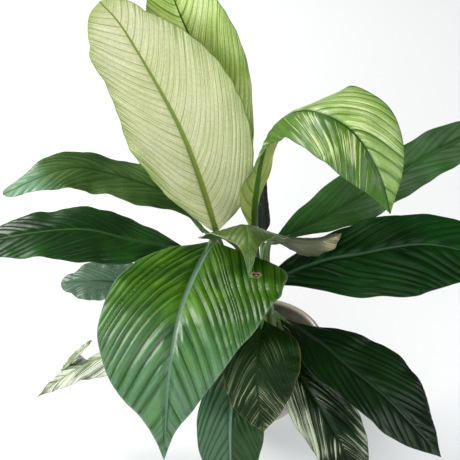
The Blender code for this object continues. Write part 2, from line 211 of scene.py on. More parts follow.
# Looks of the leaves. Colours are linear.
#   body, deep_tone_and_valley_shade: the green of the panels, and the deeper green of patches, also
#       painted shade in the valleys between panels
#   vein, rib, edge, tip: colours of the side veins, the middle rib, the margin and the tip
#   streak, marbling: colour and amount of the streaks along the veins; over 1, they crowd
#   band: share of the blade's length, from and to, where the streaks are thickest
#   veins: side veins along the blade; quilt: how far the panels rise between them, in metres
#   sweep: how the side veins lean towards the tip at the rib, and how much more at the margin
#   crowd: under 1, the side veins stand closer together near the base
#   gloss, shine: roughness and mirror share of the upper side
#   under, under_rib: colours of the underside; under_streaked: the streaks show there too
#   margin, minor, rib_size: width of the tinted margin, strength of the fine veins, rib's share
#   half: a side, its colour and how much of it; painted_sheen: where a painted sheen turns the
#       colour paler, and to what, and how much
#   tip_from: where the tip's colour starts; spot: a dried spot's place and size
#   blunt: how full a rounded tip is; wave: share of the margin's wave
#   torn: places along the right half and the share of its width left there
LOOKS = {
    "tall_pale": dict(
        body=(0.60, 0.59, 0.35), deep_tone_and_valley_shade=(0.50, 0.51, 0.25), vein=(0.10, 0.15, 0.010),
        rib=(0.17, 0.235, 0.028), edge=(0.15, 0.25, 0.020), streak=(0.62, 0.62, 0.38),
        marbling=0.40, veins=27, quilt=0.0006, gloss=0.50, tip=(0.30, 0.40, 0.08),
        sweep=(0.9, 1.1), margin=0.42, rib_size=1.5, shine=0.25, blunt=0.9, minor=0.7),
    # Partly painted light: the bright body colour is raised to stand in for light shining through
    # this backlit blade and to lift it out of the tall pale leaf's shadow
    "tall_back": dict(
        body=(0.70, 0.86, 0.26), deep_tone_and_valley_shade=(0.26, 0.42, 0.04), vein=(0.012, 0.060, 0.003),
        rib=(0.03, 0.09, 0.006), edge=(0.10, 0.22, 0.02), streak=(0.85, 0.95, 0.52),
        marbling=0.55, veins=22, quilt=0.0010, gloss=0.42, tip=(0.34, 0.50, 0.10),
        sweep=(1.0, 1.1), margin=0.32, shine=0.3, minor=0.95),
    "arching": dict(
        body=(0.075, 0.155, 0.010), deep_tone_and_valley_shade=(0.040, 0.115, 0.008), vein=(0.020, 0.075, 0.006),
        rib=(0.010, 0.050, 0.004), edge=(0.035, 0.115, 0.010), streak=(0.58, 0.66, 0.30),
        marbling=0.75, veins=18, quilt=0.0010, gloss=0.36, tip=(0.05, 0.14, 0.02),
        sweep=(1.1, 1.2), margin=0.28, half=(-1, (0.36, 0.50, 0.14), 0.75),
        under=(0.50, 0.62, 0.13), under_rib=(0.045, 0.12, 0.010), rib_size=1.4, shine=0.35,
        minor=0.9),
    # The pale tip colour, from 0.76 of the length on, is a painted highlight standing in for the
    # gloss on this blade's tip
    "left_upper": dict(
        body=(0.062, 0.125, 0.026), deep_tone_and_valley_shade=(0.022, 0.060, 0.009), vein=(0.015, 0.050, 0.006),
        rib=(0.014, 0.050, 0.006), edge=(0.10, 0.19, 0.06), streak=(0.13, 0.25, 0.06),
        marbling=0.25, veins=15, quilt=0.0014, gloss=0.34, tip=(0.14, 0.27, 0.15),
        sweep=(1.4, 1.5), tip_from=0.76, blunt=0.75),
    "left_lower": dict(
        body=(0.006, 0.060, 0.002), deep_tone_and_valley_shade=(0.002, 0.016, 0.001), vein=(0.012, 0.060, 0.005),
        rib=(0.030, 0.085, 0.018), edge=(0.020, 0.060, 0.012), streak=(0.020, 0.095, 0.008),
        marbling=0.30, veins=14, quilt=0.0013, gloss=0.36, tip=(0.010, 0.045, 0.006),
        sweep=(1.4, 1.4), shine=0.28),
    # Partly painted reflection: this blade's blue-grey colours mix the leaf's green with the sky's
    # sheen at a grazing angle
    "left_small": dict(
        body=(0.095, 0.165, 0.105), deep_tone_and_valley_shade=(0.055, 0.11, 0.065), vein=(0.035, 0.075, 0.035),
        rib=(0.030, 0.065, 0.030), edge=(0.12, 0.19, 0.12), streak=(0.12, 0.20, 0.12),
        marbling=0.15, veins=12, quilt=0.0010, gloss=0.34, tip=(0.10, 0.17, 0.10),
        sweep=(1.3, 1.4), blunt=0.9),
    # Its lower part gets a painted sheen: a paler blue-green standing in for the front light's
    # reflection
    "front_large": dict(
        body=(0.070, 0.190, 0.004), deep_tone_and_valley_shade=(0.006, 0.040, 0.001), vein=(0.010, 0.055, 0.002),
        rib=(0.115, 0.19, 0.125), edge=(0.10, 0.19, 0.09), streak=(0.12, 0.26, 0.012),
        marbling=0.25, veins=12, quilt=0.0028, gloss=0.34, tip=(0.050, 0.15, 0.045),
        sweep=(1.45, 1.0), crowd=0.70, rib_size=1.25, painted_sheen=(0.42, (0.078, 0.172, 0.100), 0.85),
        spot=(0.18, -0.66, 0.016)),
    "curled": dict(
        body=(0.075, 0.120, 0.018), deep_tone_and_valley_shade=(0.040, 0.080, 0.014), vein=(0.040, 0.090, 0.020),
        rib=(0.10, 0.19, 0.09), edge=(0.30, 0.38, 0.22), streak=(0.13, 0.19, 0.07),
        marbling=0.25, veins=12, quilt=0.0007, gloss=0.38, shine=0.22, tip=(0.045, 0.14, 0.050),
        sweep=(1.2, 1.2)),
    "furled": dict(
        body=(0.085, 0.090, 0.050), deep_tone_and_valley_shade=(0.085, 0.100, 0.055), vein=(0.055, 0.065, 0.035),
        rib=(0.060, 0.070, 0.035), edge=(0.26, 0.24, 0.15), streak=(0.34, 0.29, 0.16),
        marbling=1.0, band=(0.70, 1.0), veins=12, quilt=0.0004, gloss=0.50, shine=0.2,
        tip=(0.12, 0.09, 0.05), under=(0.085, 0.092, 0.050), under_rib=(0.060, 0.072, 0.034),
        under_streaked=1),
    "right_upper": dict(
        body=(0.016, 0.070, 0.010), deep_tone_and_valley_shade=(0.010, 0.038, 0.004), vein=(0.010, 0.035, 0.005),
        rib=(0.014, 0.045, 0.008), edge=(0.035, 0.085, 0.025), streak=(0.045, 0.12, 0.02),
        marbling=0.20, veins=13, quilt=0.0009, gloss=0.46, tip=(0.030, 0.080, 0.025),
        sweep=(1.5, 1.5), shine=0.12),
    "right_lower": dict(
        body=(0.003, 0.042, 0.002), deep_tone_and_valley_shade=(0.001, 0.010, 0.001), vein=(0.003, 0.026, 0.002),
        rib=(0.040, 0.085, 0.045), edge=(0.012, 0.040, 0.010), streak=(0.005, 0.045, 0.002),
        marbling=0.20, veins=13, quilt=0.0018, gloss=0.38, tip=(0.006, 0.035, 0.004),
        sweep=(1.5, 1.3), shine=0.10),
    "front_right": dict(
        body=(0.004, 0.024, 0.002), deep_tone_and_valley_shade=(0.001, 0.008, 0.001), vein=(0.005, 0.020, 0.003),
        rib=(0.022, 0.040, 0.020), edge=(0.020, 0.035, 0.015), streak=(0.009, 0.040, 0.004),
        marbling=0.20, veins=11, quilt=0.0017, gloss=0.32, tip=(0.006, 0.026, 0.004),
        sweep=(1.8, 1.6), shine=0.22),
    "front_centre": dict(
        body=(0.006, 0.026, 0.002), deep_tone_and_valley_shade=(0.002, 0.010, 0.001), vein=(0.005, 0.016, 0.002),
        rib=(0.008, 0.026, 0.004), edge=(0.11, 0.11, 0.010), streak=(0.36, 0.40, 0.22),
        marbling=0.8, band=(0.55, 0.98), veins=14, quilt=0.0010, gloss=0.40,
        tip=(0.18, 0.19, 0.012), sweep=(1.2, 1.2), shine=0.10),
    "front_marbled": dict(
        body=(0.006, 0.028, 0.002), deep_tone_and_valley_shade=(0.002, 0.009, 0.001), vein=(0.003, 0.012, 0.001),
        rib=(0.010, 0.030, 0.005), edge=(0.13, 0.16, 0.05), streak=(0.58, 0.62, 0.44),
        marbling=0.85, band=(0.10, 0.80), veins=12, quilt=0.0014, gloss=0.32,
        tip=(0.10, 0.13, 0.015), sweep=(1.7, 1.5), shine=0.18),
    "front_low": dict(
        body=(0.016, 0.060, 0.008), deep_tone_and_valley_shade=(0.006, 0.032, 0.003), vein=(0.008, 0.036, 0.004),
        rib=(0.12, 0.19, 0.135), edge=(0.060, 0.11, 0.045), streak=(0.045, 0.12, 0.030),
        marbling=0.20, veins=12, quilt=0.0018, gloss=0.34, tip=(0.030, 0.085, 0.022),
        sweep=(1.4, 1.3), half=(1, (0.070, 0.155, 0.085), 0.85), shine=0.22),
    "cream": dict(
        body=(0.66, 0.67, 0.58), deep_tone_and_valley_shade=(0.52, 0.55, 0.42), vein=(0.16, 0.24, 0.09),
        rib=(0.20, 0.28, 0.10), edge=(0.26, 0.22, 0.12), streak=(0.080, 0.105, 0.055),
        marbling=1.5, band=(0.0, 1.0), veins=9, quilt=0.0006, gloss=0.50,
        tip=(0.050, 0.026, 0.012), sweep=(2.0, 1.5), tip_from=0.84,
        torn=((0, 0.8), (0.25, 0.7), (0.36, 0.5), (0.43, 0.3), (0.50, 0.15), (0.56, 1))),
    "behind": dict(
        body=(0.016, 0.030, 0.016), deep_tone_and_valley_shade=(0.008, 0.016, 0.008), vein=(0.010, 0.020, 0.010),
        rib=(0.030, 0.045, 0.025), edge=(0.030, 0.045, 0.025), streak=(0.03, 0.05, 0.02),
        marbling=0.10, veins=10, quilt=0.0006, gloss=0.40, tip=(0.020, 0.035, 0.020)),
}


# Settings that a user would change

class StageSettings(bpy.types.PropertyGroup):
    camera_height: bpy.props.FloatProperty(
        name="Camera Height", description="Height of the lens above the floor",
        default=1.187, unit="LENGTH")
    camera_back: bpy.props.FloatProperty(
        name="Camera Distance", description="How far the camera stands in front of the pot",
        default=0.940, unit="LENGTH")
    camera_side: bpy.props.FloatProperty(
        name="Camera Offset", description="How far the camera stands to the pot's right",
        default=-0.041, unit="LENGTH")
    camera_pitch: bpy.props.FloatProperty(
        name="Camera Pitch", description="How far the camera looks down",
        default=radians(43.4), subtype="ANGLE")
    lens: bpy.props.FloatProperty(
        name="Lens", description="Focal length in millimetres on a 36 mm sensor", default=88.4)
    floor_colour: bpy.props.FloatVectorProperty(
        name="Floor", description="Colour of the floor", default=(0.64, 0.64, 0.645),
        subtype="COLOR")
    floor_size: bpy.props.FloatProperty(
        name="Floor Size", description="Side of the square floor", default=14.0, unit="LENGTH")


class BladeSettings(bpy.types.PropertyGroup):
    thickness: bpy.props.FloatProperty(
        name="Blade Thickness", description="Thickness of a leaf at its margin",
        default=0.0005, unit="LENGTH")
    rib_thickness: bpy.props.FloatProperty(
        name="Rib Thickness", description="Thickness of a leaf at its middle rib",
        default=0.0034, unit="LENGTH")
    rib_width: bpy.props.FloatProperty(
        name="Rib Width", description="Half width of the groove over the middle rib",
        default=0.0030, unit="LENGTH")
    rib_depth: bpy.props.FloatProperty(
        name="Rib Depth", description="Depth of the groove over the middle rib",
        default=0.0014, unit="LENGTH")
    wave: bpy.props.FloatProperty(
        name="Margin Wave", description="How far the margins wave up and down",
        default=0.0030, unit="LENGTH")


class StalkSettings(bpy.types.PropertyGroup):
    radius: bpy.props.FloatProperty(
        name="Stalk Radius", description="Radius of a stalk half way up",
        default=0.0032, unit="LENGTH")
    sheath_radius: bpy.props.FloatProperty(
        name="Sheath Radius", description="Radius of a stalk's sheath at the crown",
        default=0.0058, unit="LENGTH")
    low_colour: bpy.props.FloatVectorProperty(
        name="Sheath", description="Colour at the crown", default=(0.20, 0.25, 0.09),
        subtype="COLOR")
    high_colour: bpy.props.FloatVectorProperty(
        name="Stalk", description="Colour near the leaf", default=(0.045, 0.12, 0.018),
        subtype="COLOR")


class PotSettings(bpy.types.PropertyGroup):
    glaze: bpy.props.FloatVectorProperty(
        name="Glaze", description="Colour of the glaze", default=(0.27, 0.26, 0.21),
        subtype="COLOR")
    # Painted shade: the darker glaze colour is the glaze as it looks in the leaves' shadow; it is
    # mixed over the pot in random clouds
    glaze_shaded: bpy.props.FloatVectorProperty(
        name="Glaze Shaded", description="Colour where the glaze is thick",
        default=(0.105, 0.100, 0.075), subtype="COLOR")
    clay: bpy.props.FloatVectorProperty(
        name="Clay", description="Colour of the bare foot", default=(0.42, 0.33, 0.24),
        subtype="COLOR")
    ripple: bpy.props.FloatProperty(
        name="Turning Rings", description="Height of the rings left by turning",
        default=0.00025, unit="LENGTH")


class SoilSettings(bpy.types.PropertyGroup):
    crumbs: bpy.props.IntProperty(
        name="Crumbs", description="Crumbs of peat on the soil", default=900)
    chips: bpy.props.IntProperty(
        name="Chips", description="Chips of bark on the soil", default=90)
    grit: bpy.props.IntProperty(
        name="Grit", description="Pale grains of grit in the soil", default=70)
    peat: bpy.props.FloatVectorProperty(
        name="Peat", description="Colour of the soil", default=(0.018, 0.012, 0.008),
        subtype="COLOR")


# Node trees

class Graph:
    """Adds nodes to a tree; each input takes a value or another node's output."""

    def __init__(self, tree):
        self.tree = tree

    def node(self, kind, feeds=None, output=0, **settings):
        node = self.tree.nodes.new(kind)
        for key, value in settings.items():
            setattr(node, key, value)
        for socket, value in (feeds or {}).items():
            self.feed(node.inputs[socket], value)
        return node.outputs[output] if node.outputs else node

    def feed(self, socket, value):
        if isinstance(value, bpy.types.NodeSocket):
            self.tree.links.new(value, socket)
        else:
            socket.default_value = value

    def math(self, operation, first, second=0.0):
        return self.node("ShaderNodeMath", {0: first, 1: second}, operation=operation)

    def times(self, first, *others):
        for other in others:
            first = self.math("MULTIPLY", first, other)
        return first

    def sum(self, first, *others):
        for other in others:
            first = self.math("ADD", first, other)
        return first

    def absolute(self, value):
        return self.math("ABSOLUTE", value)

    def vector(self, x, y, z=0.0):
        return self.node("ShaderNodeCombineXYZ", {0: x, 1: y, 2: z})

    def split(self, vector):
        """The x, y and z of a vector."""
        parts = self.tree.nodes.new("ShaderNodeSeparateXYZ")
        self.feed(parts.inputs[0], vector)
        return parts.outputs

    def smooth(self, value, low, high, start=0.0, end=1.0):
        """Goes smoothly from start to end while value goes from low to high."""
        feeds = {"Value": value, "From Min": low, "From Max": high, "To Min": start, "To Max": end}
        return self.node("ShaderNodeMapRange", feeds, interpolation_type="SMOOTHSTEP")

    def mix(self, factor, first, second, blend="MIX"):
        feeds = {0: factor, 6: opaque(first), 7: opaque(second)}
        return self.node("ShaderNodeMix", feeds, output=2, data_type="RGBA", blend_type=blend)

    def object_place(self):
        return self.node("ShaderNodeTexCoord", output=3)

    def stretched(self, place, scale):
        return self.node("ShaderNodeMapping", {"Vector": place, "Scale": scale})

    def noise(self, place, scale, detail=3.0, roughness=0.55):
        feeds = {"Vector": place, "Scale": scale, "Detail": detail, "Roughness": roughness}
        return self.node("ShaderNodeTexNoise", feeds)


def opaque(colour):
    """A colour with its alpha; another node's output stays as it is."""
    return colour if isinstance(colour, bpy.types.NodeSocket) else (*colour, 1.0)


def new_material(name):
    material = bpy.data.materials.new(name)
    material.use_nodes = True
    graph = Graph(material.node_tree)
    return material, graph, material.node_tree.nodes["Principled BSDF"]


def bump(graph, shader, height, strength, distance):
    feeds = {"Strength": strength, "Distance": distance, "Height": height}
    graph.feed(shader.inputs["Normal"], graph.node("ShaderNodeBump", feeds))


def vein_lines(graph, phase, count, sharpness):
    """1 on a vein and 0 between veins."""
    return graph.math("POWER", graph.math("SUBTRACT", 1.0, panel_wave(graph, phase, count)),
                      sharpness)


def panel_wave(graph, phase, count):
    """0 on a vein and 1 in the middle of the panel between two veins."""
    return graph.absolute(graph.math("SINE", graph.times(phase, pi * count)))


def leaf_place(graph):
    """Along the rib 0 to 1, across -1 to 1, the vein phase, and metres from the rib."""
    place = graph.node("ShaderNodeAttribute", output="Vector", attribute_name="blade")
    away = graph.node("ShaderNodeAttribute", output="Fac", attribute_name="from_rib")
    return (*graph.split(place), away)


def lighter(colour):
    return tuple(min(1.0, part * 1.5 + 0.004) for part in colour)


def vein_lane(graph, phase, away, side, look, across_rate, along_rate):
    """A place that changes fast across the veins and slowly along them."""
    return graph.vector(graph.times(phase, look["veins"] * across_rate),
                        graph.times(away, along_rate), graph.times(side, HALVES_APART))


def leaf_top_material(name, look):
    material, graph, shader = new_material(name + "_upper")
    along, across, phase, away = leaf_place(graph)
    reach = graph.absolute(across)
    side = graph.math("SIGN", across)
    place = graph.object_place()
    patches = graph.noise(place, 16.0, 2.0)
    mottle = graph.noise(place, 420.0, 2.0)
    fine = graph.noise(vein_lane(graph, phase, away, side, look, 7.0, 30.0), 1.0, 3.0)

    # Green of the panels, with painted shade darkening the valleys along the veins
    between = panel_wave(graph, phase, look["veins"])
    colour = graph.mix(graph.smooth(patches, 0.32, 0.68), look["deep_tone_and_valley_shade"], look["body"])
    if "half" in look:
        hand, pale, amount = look["half"]
        on = graph.smooth(graph.times(across, float(hand)), 0.0, 0.10, 0.0, amount)
        colour = graph.mix(on, colour, pale)
    # Painted sheen: the lower part of the blade turns a paler blue-green that stands in for the
    # front light's reflection
    if "painted_sheen" in look:
        start, pale, amount = look["painted_sheen"]
        low = graph.smooth(graph.sum(along, graph.times(patches, 0.2)), start, start + 0.35,
                           0.0, amount)
        colour = graph.mix(low, colour, pale)
    # Painted shade: the valleys between the raised panels are darkened towards the deeper green
    colour = graph.mix(graph.smooth(between, 0.10, 0.75, 0.60, 0.0), colour, look["deep_tone_and_valley_shade"])
    colour = graph.mix(graph.smooth(fine, 0.40, 0.72, 0.0, 0.35), colour, look["deep_tone_and_valley_shade"])
    colour = graph.mix(graph.smooth(fine, 0.28, 0.60, 0.35, 0.0), colour, lighter(look["body"]))
    colour = add_streaks(graph, colour, look, along, side, phase, away, patches)

    # Veins, margin, tip and middle rib
    main = vein_lines(graph, phase, look["veins"], 9.0)
    minor = vein_lines(graph, phase, look["veins"] * 3, 5.0)
    strength = graph.smooth(fine, 0.2, 0.7, 0.55, 1.0)
    colour = graph.mix(graph.times(main, strength), colour, look["vein"])
    faint = graph.smooth(fine, 0.35, 0.65, 0.0, look.get("minor", 0.5))
    colour = graph.mix(graph.times(minor, faint), colour, look["vein"])
    width = look.get("margin", 0.05)
    rough_reach = graph.sum(reach, graph.smooth(fine, 0.3, 0.7, -width, width * 0.4))
    colour = graph.mix(graph.smooth(rough_reach, 1.0 - width, 1.0, 0.0, 0.75), colour, look["edge"])
    colour = graph.mix(graph.smooth(reach, 0.975, 0.995, 0.0, 0.8), colour, look["edge"])
    start = look.get("tip_from", 0.92)
    colour = graph.mix(graph.smooth(along, start, start + 0.12), colour, look["tip"])
    rib_half = graph.times(graph.smooth(along, 0.0, 1.0, 0.0030, 0.0007),
                           look.get("rib_size", 1.0))
    rib = graph.smooth(graph.math("DIVIDE", away, rib_half), 0.5, 1.05, 1.0, 0.0)
    colour = graph.mix(rib, colour, look["rib"])
    if "spot" in look:
        colour = add_spot(graph, colour, along, across, *look["spot"])
    light = graph.smooth(mottle, 0.3, 0.7, 0.92, 1.08)
    value = graph.node("ShaderNodeHueSaturation", {"Value": light, "Color": colour})
    graph.feed(shader.inputs["Base Color"], value)
    gloss = graph.smooth(patches, 0.25, 0.75, look["gloss"] - 0.03, look["gloss"] + 0.07)
    graph.feed(shader.inputs["Roughness"], gloss)
    shader.inputs["Specular IOR Level"].default_value = look.get("shine", 0.34)
    height = graph.sum(graph.times(mottle, 0.3), graph.times(fine, 0.7))
    height = graph.math("SUBTRACT", height, graph.times(minor, 0.4))
    height = graph.times(height, SKIN_GRAIN)
    flat_rib = graph.smooth(away, 0.002, 0.010)
    panel = graph.times(graph.math("POWER", between, 0.7), flat_rib,
                        look["quilt"] * PANEL_RELIEF)
    bump(graph, shader, graph.sum(height, panel), 1.0, 1.0)
    return material


def add_streaks(graph, colour, look, along, side, phase, away, patches):
    """Long thin streaks along the veins, crowded in the look's band and patchy elsewhere."""
    amount = look["marbling"]
    broad = graph.noise(vein_lane(graph, phase, away, side, look, 2.6, 16.0), 1.0, 4.0, 0.6)
    thin = graph.noise(vein_lane(graph, phase, away, side, look, 8.0, 24.0), 1.0, 3.0, 0.6)
    low, high = look.get("band", (0.0, 1.0))
    inside = graph.times(graph.smooth(along, low - 0.15, low + 0.15),
                         graph.smooth(along, high - 0.08, high + 0.12, 1.0, 0.0))
    where = graph.sum(graph.times(inside, 0.10),
                      graph.times(graph.math("SUBTRACT", patches, 0.5), 0.50))
    limit = 0.72 - 0.08 * amount
    wide = graph.smooth(graph.sum(broad, where), limit + 0.02, limit + 0.07, 0.0, amount)
    slim = graph.smooth(graph.sum(thin, where), limit, limit + 0.06, 0.0, amount)
    mask = graph.times(graph.math("MAXIMUM", wide, slim),
                       graph.smooth(inside, 0.0, 1.0, 0.30, 1.0))
    return graph.mix(mask, colour, look["streak"])


def add_spot(graph, colour, along, across, u, v, size):
    """A dried brown spot with a pale rim, at u along and v across the blade."""
    du = graph.times(graph.math("SUBTRACT", along, u), 1.0 / size)
    dv = graph.times(graph.math("SUBTRACT", across, v), 0.26 / size)
    away = graph.node("ShaderNodeVectorMath", {0: graph.vector(du, dv)}, output=1,
                      operation="LENGTH")
    colour = graph.mix(graph.smooth(away, 0.8, 1.3, 0.9, 0.0), colour, (0.36, 0.30, 0.16))
    colour = graph.mix(graph.smooth(away, 0.55, 0.8, 1.0, 0.0), colour, (0.060, 0.018, 0.008))
    return graph.mix(graph.smooth(away, 0.15, 0.35, 1.0, 0.0), colour, (0.40, 0.36, 0.22))


def leaf_under_material(name, look):
    material, graph, shader = new_material(name + "_under")
    along, across, phase, away = leaf_place(graph)
    side = graph.math("SIGN", across)
    place = graph.object_place()
    mottle = graph.noise(place, 300.0, 2.0)
    patches = graph.noise(place, 18.0, 2.0)
    fine = graph.noise(vein_lane(graph, phase, away, side, look, 5.0, 24.0), 1.0, 3.0)
    paler = tuple(0.55 * part + 0.45 * grey for part, grey in zip(look["body"], (0.13, 0.18, 0.08)))
    pale = look.get("under", paler)
    dark = tuple(part * 0.6 for part in pale)
    colour = graph.mix(graph.smooth(patches, 0.3, 0.7), dark, pale)
    colour = graph.mix(graph.smooth(fine, 0.35, 0.70, 0.0, 0.6), colour, dark)
    main = vein_lines(graph, phase, look["veins"], 6.0)
    colour = graph.mix(graph.times(main, 0.8), colour, look["vein"])
    if look.get("under_streaked"):
        colour = add_streaks(graph, colour, look, along, side, phase, away, patches)
    rib_half = graph.smooth(along, 0.0, 1.0, 0.0042, 0.0012)
    rib = graph.smooth(graph.math("DIVIDE", away, rib_half), 0.7, 1.1, 1.0, 0.0)
    colour = graph.mix(rib, colour, look.get("under_rib", (0.10, 0.19, 0.035)))
    colour = graph.mix(graph.smooth(along, 0.92, 1.0), colour, look["tip"])
    graph.feed(shader.inputs["Base Color"], colour)
    graph.feed(shader.inputs["Roughness"], graph.smooth(mottle, 0.2, 0.8, 0.46, 0.62))
    shader.inputs["Specular IOR Level"].default_value = 0.3
    bump(graph, shader, graph.sum(graph.times(mottle, 0.3), main), 0.3, 0.0006)
    return material


# Objects

def new_object(name, data):
    obj = bpy.data.objects.new(name, data)
    bpy.context.scene.collection.objects.link(obj)
    return obj


def mesh_object(name, bm, material=None, smooth=False):
    """An object from the finished bmesh, which is freed."""
    mesh = bpy.data.meshes.new(name)
    bm.to_mesh(mesh)
    bm.free()
    if smooth:
        mesh.shade_smooth()
    if material:
        mesh.materials.append(material)
    return new_object(name, mesh)


def bridge(bm, loops):
    """Faces between each closed loop of points and the next."""
    for low, high in zip(loops, loops[1:]):
        for k in range(len(low)):
            following = (k + 1) % len(low)
            bm.faces.new((low[k], high[k], high[following], low[following]))


def close_mound(bm, centre, loops):
    """A fan round the top's centre, the sides, and a flat underside."""
    first = loops[0]
    for k in range(len(first)):
        bm.faces.new((centre, first[k], first[(k + 1) % len(first)]))
    bridge(bm, loops)
    bm.faces.new(list(reversed(loops[-1])))
    bmesh.ops.recalc_face_normals(bm, faces=bm.faces)


# Shapes of the leaves

def smooth_path(points, count):
    """Evenly spaced points along the smooth curve that passes through the given ones."""
    knots = np.array(points, float)
    knots = np.vstack([2 * knots[0] - knots[1], knots, 2 * knots[-1] - knots[-2]])
    fine = []
    for a, b, c, d in zip(knots, knots[1:], knots[2:], knots[3:]):
        for t in np.linspace(0, 1, 40, endpoint=False):
            fine.append(0.5 * (2 * b + (c - a) * t + (2 * a - 5 * b + 4 * c - d) * t ** 2
                               + (3 * b - a - 3 * c + d) * t ** 3))
    fine.append(knots[-2])
    fine = np.array(fine)
    steps = np.linalg.norm(np.diff(fine, axis=0), axis=1)
    length = np.concatenate([[0.0], np.cumsum(steps)])
    marks = np.linspace(0, length[-1], count)
    return np.stack([np.interp(marks, length, fine[:, k]) for k in range(3)], axis=1)


def unit(vectors):
    return vectors / np.linalg.norm(vectors, axis=-1, keepdims=True)


def spread(values, count):
    """Values given evenly from base to tip, read at count places."""
    values = np.array(values, float)
    if len(values) == 1:
        return np.repeat(values, count, axis=0)
    return np.interp(np.linspace(0, 1, count), np.linspace(0, 1, len(values)), values)


def half_widths(stations, count):
    """Half width from base to tip, smooth through the stations and closing at both ends."""
    outline = [0.0, *stations, 0.0]
    knots = [(i / (len(outline) - 1), width, 0) for i, width in enumerate(outline)]
    curve = smooth_path(knots, 20 * len(knots))
    return np.interp(np.linspace(0, 1, count), curve[:, 0], curve[:, 1])


def blade_frame(leaf, count):
    """Rib points, the direction of the right half and the upper side's normal."""
    rib = smooth_path(leaf["rib"], count)
    along = unit(np.gradient(rib, axis=0))
    sides = np.array(leaf["across"], float)
    side = np.stack([spread(sides[:, k], count) for k in range(3)], axis=1)
    side = unit(side - np.sum(side * along, axis=1, keepdims=True) * along)
    return rib, side, np.cross(side, along)


def blade_points(leaf, look, wave, seed):
    """The blade's points, its places along and across, and metres from the rib."""
    rows = RIB_ROWS
    columns = min(MOST_COLUMNS, round(max(*leaf["left"], *leaf["right"]) / COLUMN_STEP) + 4)
    rib, side, normal = blade_frame(leaf, rows)
    along = np.linspace(0, 1, rows)
    fold = np.radians(spread(leaf["fold"], rows))
    curl = np.radians(spread(leaf.get("curl", (0,)), rows))
    random = np.random.default_rng(seed)
    hands = {-1: half_widths(leaf["left"], rows), 1: half_widths(leaf["right"], rows)}
    shapes = {}
    for hand, widths in hands.items():
        start = BLADE_START * np.clip(1 - along / 0.02, 0, 1)
        ripple = 1 + 0.007 * np.sin(2 * pi * (look["veins"] * along * 0.5 + random.random()))
        if hand == 1 and "torn" in look:
            widths = widths * np.interp(along, *zip(*look["torn"]))
        widths = np.maximum(widths * ripple, start)
        if "blunt" in look:
            last = np.clip((along - BLUNT_FROM) / (1 - BLUNT_FROM), 0, 1)
            rounded = np.interp(BLUNT_FROM, along, widths) * np.sqrt(1 - last ** 2) * look["blunt"]
            widths = np.where(last > 0, np.maximum(widths, rounded), widths)
        waves = sum(np.sin(2 * pi * (count * along + random.random())) / share
                    for count, share in ((2.5, 1.6), (5.0, 2.2), (9.0, 4.0)))
        shapes[hand] = (widths, wave * look.get("wave", 1.0) * waves * np.sin(pi * along) ** 0.5)
    points, reaches, away = [], [], []
    for step in range(-columns, columns + 1):
        hand = -1 if step < 0 else 1
        widths, waves = shapes[hand]
        reach = abs(step) / columns
        parts = [(k + 0.5) / columns for k in range(abs(step))]
        out = sum((np.cos(fold + curl * part) for part in parts), np.zeros(rows)) / columns
        lift = sum((np.sin(fold + curl * part) for part in parts), np.zeros(rows)) / columns
        height = lift * widths + waves * reach ** 2.2
        points.append(rib + side * (hand * out * widths)[:, None] + normal * height[:, None])
        reaches.append(np.full(rows, hand * reach))
        away.append(reach * widths)
    return (np.stack(points, axis=1), np.repeat(along[:, None], len(points), axis=1),
            np.stack(reaches, axis=1), np.stack(away, axis=1))


def vein_phase(along, across, away, length, look):
    """Which side vein a point is on: veins leave the rib at a slant and bend towards the tip."""
    slant, bend = look.get("sweep", (0.75, 0.85))
    phase = along - (slant * away + bend * away ** 2 / away.max()) / length
    phase = np.sign(phase) * np.abs(phase) ** look.get("crowd", 1.0)
    offset = np.where(across < 0, 0.4, 0.0)
    uneven = np.sin(19.0 * phase + 3 * offset) + 0.6 * np.sin(43.0 * phase + 1.0 + 5 * offset)
    return phase + (VEIN_UNEVENNESS * uneven + offset) / look["veins"]


def sheet_object(name, points, attributes):
    """A grid of points as a sheet whose upper side faces along its normals."""
    rows, columns = points.shape[:2]
    index = np.arange(rows * columns).reshape(rows, columns)
    quads = np.stack([index[:-1, :-1], index[:-1, 1:], index[1:, 1:], index[1:, :-1]], axis=-1)
    mesh = bpy.data.meshes.new(name)
    mesh.from_pydata(points.reshape(-1, 3).tolist(), [], quads.reshape(-1, 4).tolist())
    for key, values in attributes.items():
        kind = "FLOAT" if values.ndim == 2 else "FLOAT_VECTOR"
        field = "value" if values.ndim == 2 else "vector"
        attribute = mesh.attributes.new(key, kind, "POINT")
        attribute.data.foreach_set(field, values.ravel().astype(np.float32))
    mesh.shade_smooth()
    return new_object(name, mesh)


def start_tree(name, inputs):
    """A geometry tree that takes geometry, the named inputs and a material."""
    tree = bpy.data.node_groups.new(name, "GeometryNodeTree")
    for label, kind in {"Geometry": "Geometry", **inputs, "Material": "Material"}.items():
        tree.interface.new_socket(label, in_out="INPUT", socket_type="NodeSocket" + kind)
    tree.interface.new_socket("Geometry", in_out="OUTPUT", socket_type="NodeSocketGeometry")
    return Graph(tree), tree.nodes.new("NodeGroupInput").outputs


def end_tree(graph, given, geometry, smooth=False):
    """Makes the geometry real, gives it its material and ends the tree."""
    real = graph.node("GeometryNodeRealizeInstances", {"Geometry": geometry})
    done = graph.node("GeometryNodeSetMaterial", {"Geometry": real, "Material": given["Material"]})
    if smooth:
        done = graph.node("GeometryNodeSetShadeSmooth", {"Geometry": done})
    out = graph.tree.nodes.new("NodeGroupOutput")
    graph.feed(out.inputs[0], done)
    return graph.tree


